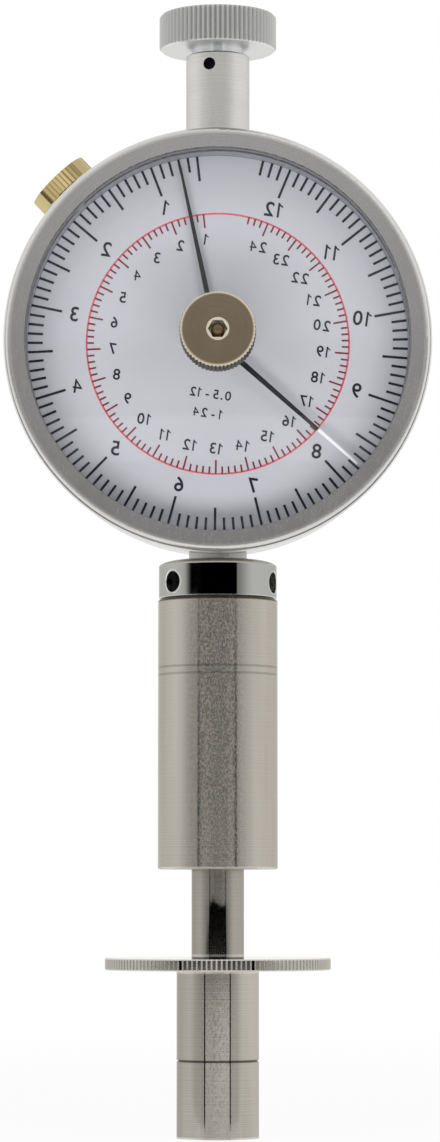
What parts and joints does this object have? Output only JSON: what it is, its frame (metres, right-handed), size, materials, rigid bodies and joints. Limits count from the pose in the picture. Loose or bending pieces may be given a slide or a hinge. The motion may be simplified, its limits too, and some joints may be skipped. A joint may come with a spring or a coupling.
{
  "type": "hardness tester",
  "caption": "Hand-held fruit hardness tester: a sprung plunger with a flat round tip drives, by rack and gears, the pointer of a round dial with a resettable peak hand",
  "frame": {"origin": "centre of the probe tip's end face", "axes": "+Z from the tip up the column to the handle, -Y out of the dial towards the reader, +X to the reader's right"},
  "size_m": [0.0584, 0.0351, 0.1551],
  "materials": {
    "case_aluminium": "satin turned, light grey",
    "cover_aluminium": "satin turned",
    "bezel_aluminium": "fine turned, grey",
    "stem_steel": "light satin",
    "handle_steel": "straight knurled, light satin",
    "polished_steel": "polished",
    "turned_steel": "fine turned",
    "screw_steel": "bright",
    "black_steel": "blackened steel",
    "spring_steel": "spring wire",
    "movement_brass": "bright brass",
    "knob_brass": "nickel-tinted brass, turned face",
    "lock_brass": "pale brass, knurled",
    "dial_print": "matt bluish white with plain numbers",
    "ring_grey": "matt grey",
    "gasket_rubber": "black",
    "crystal_glass": "clear, domed",
    "hand_black": "matt black",
    "peak_hand_paint": "black with a bright tip"
  },
  "bodies": {
    "case": {"case_body": "case_aluminium", "back_cover": "cover_aluminium", "cover_screw_1": "screw_steel", "cover_screw_2": "screw_steel", "cover_screw_3": "screw_steel", "cover_screw_4": "screw_steel", "back_plate": "movement_brass", "front_plate": "movement_brass", "pillar_1": "movement_brass", "pillar_2": "movement_brass", "pillar_3": "movement_brass", "plate_screw_1": "screw_steel", "plate_screw_2": "screw_steel", "plate_screw_3": "screw_steel", "flange_screw_1": "screw_steel", "flange_screw_2": "screw_steel", "flange_screw_3": "screw_steel", "neck_bush": "polished_steel", "lock_collar": "polished_steel", "grub_screw_1": "black_steel", "grub_screw_2": "black_steel", "grub_screw_3": "black_steel", "barrel": "turned_steel", "guide_bush": "movement_brass", "spring_washer": "screw_steel", "main_spring": "spring_steel", "upper_stem": "stem_steel", "stem_screw": "black_steel", "handle_stud": "polished_steel", "handle_knob": "handle_steel", "lock_shoe": "movement_brass"},
    "bezel": {"bezel": "bezel_aluminium", "crystal_gasket": "gasket_rubber", "crystal": "crystal_glass", "dial_ring": "ring_grey", "dial_plate": "dial_print", "dial_retainer": "ring_grey", "reset_bush": "screw_steel", "reset_nut": "screw_steel"},
    "peak": {"reset_knob": "knob_brass", "reset_sleeve": "screw_steel", "reset_spindle": "screw_steel", "peak_hand": "peak_hand_paint", "peak_collet": "movement_brass"},
    "pointer": {"drive_hand": "hand_black", "drive_collet": "movement_brass", "centre_arbor": "screw_steel", "centre_pinion": "movement_brass"},
    "idler": {"idler_arbor": "screw_steel", "idler_gear": "movement_brass", "rack_pinion": "movement_brass"},
    "plunger": {"plunger_rod": "turned_steel", "rack_bar": "screw_steel", "spring_seat": "screw_steel", "stop_flange": "turned_steel", "probe_tip": "turned_steel"},
    "lock": {"lock_stud": "lock_brass", "lock_knob": "lock_brass"}
  },
  "joints": [
    {"name": "plunger_slide", "type": "slide", "parent": "case", "child": "plunger", "axis": [0, 0, 1], "range_m": [0, 0.01], "stiffness_N_per_m": 11770, "springref_m": -0.0008, "deforming": ["main_spring"]},
    {"name": "pointer_spin", "type": "hinge", "parent": "case", "child": "pointer", "pos_m": [0, 0, 0.10839], "axis": [0, -1, 0], "range_deg": [0, 345.6]},
    {"name": "idler_spin", "type": "hinge", "parent": "case", "child": "idler", "pos_m": [0.0055, 0, 0.09552], "axis": [0, -1, 0], "range_deg": [-163.71, 0]},
    {"name": "bezel_turn", "type": "hinge", "parent": "case", "child": "bezel", "pos_m": [0, 0, 0.10839], "axis": [0, -1, 0], "continuous": true},
    {"name": "peak_turn", "type": "hinge", "parent": "bezel", "child": "peak", "pos_m": [0, 0, 0.10839], "axis": [0, -1, 0], "range_deg": [-214, 140]},
    {"name": "lock_turn", "type": "hinge", "parent": "case", "child": "lock", "pos_m": [-0.02137, -0.0024, 0.13071], "axis": [-0.6915, 0, 0.7224], "range_deg": [0, 360]}
  ],
  "couplings": [
    {"joint": "pointer_spin", "follows": "plunger_slide", "rad_per_m": 603.17},
    {"joint": "idler_spin", "follows": "plunger_slide", "rad_per_m": -285.71}
  ]
}
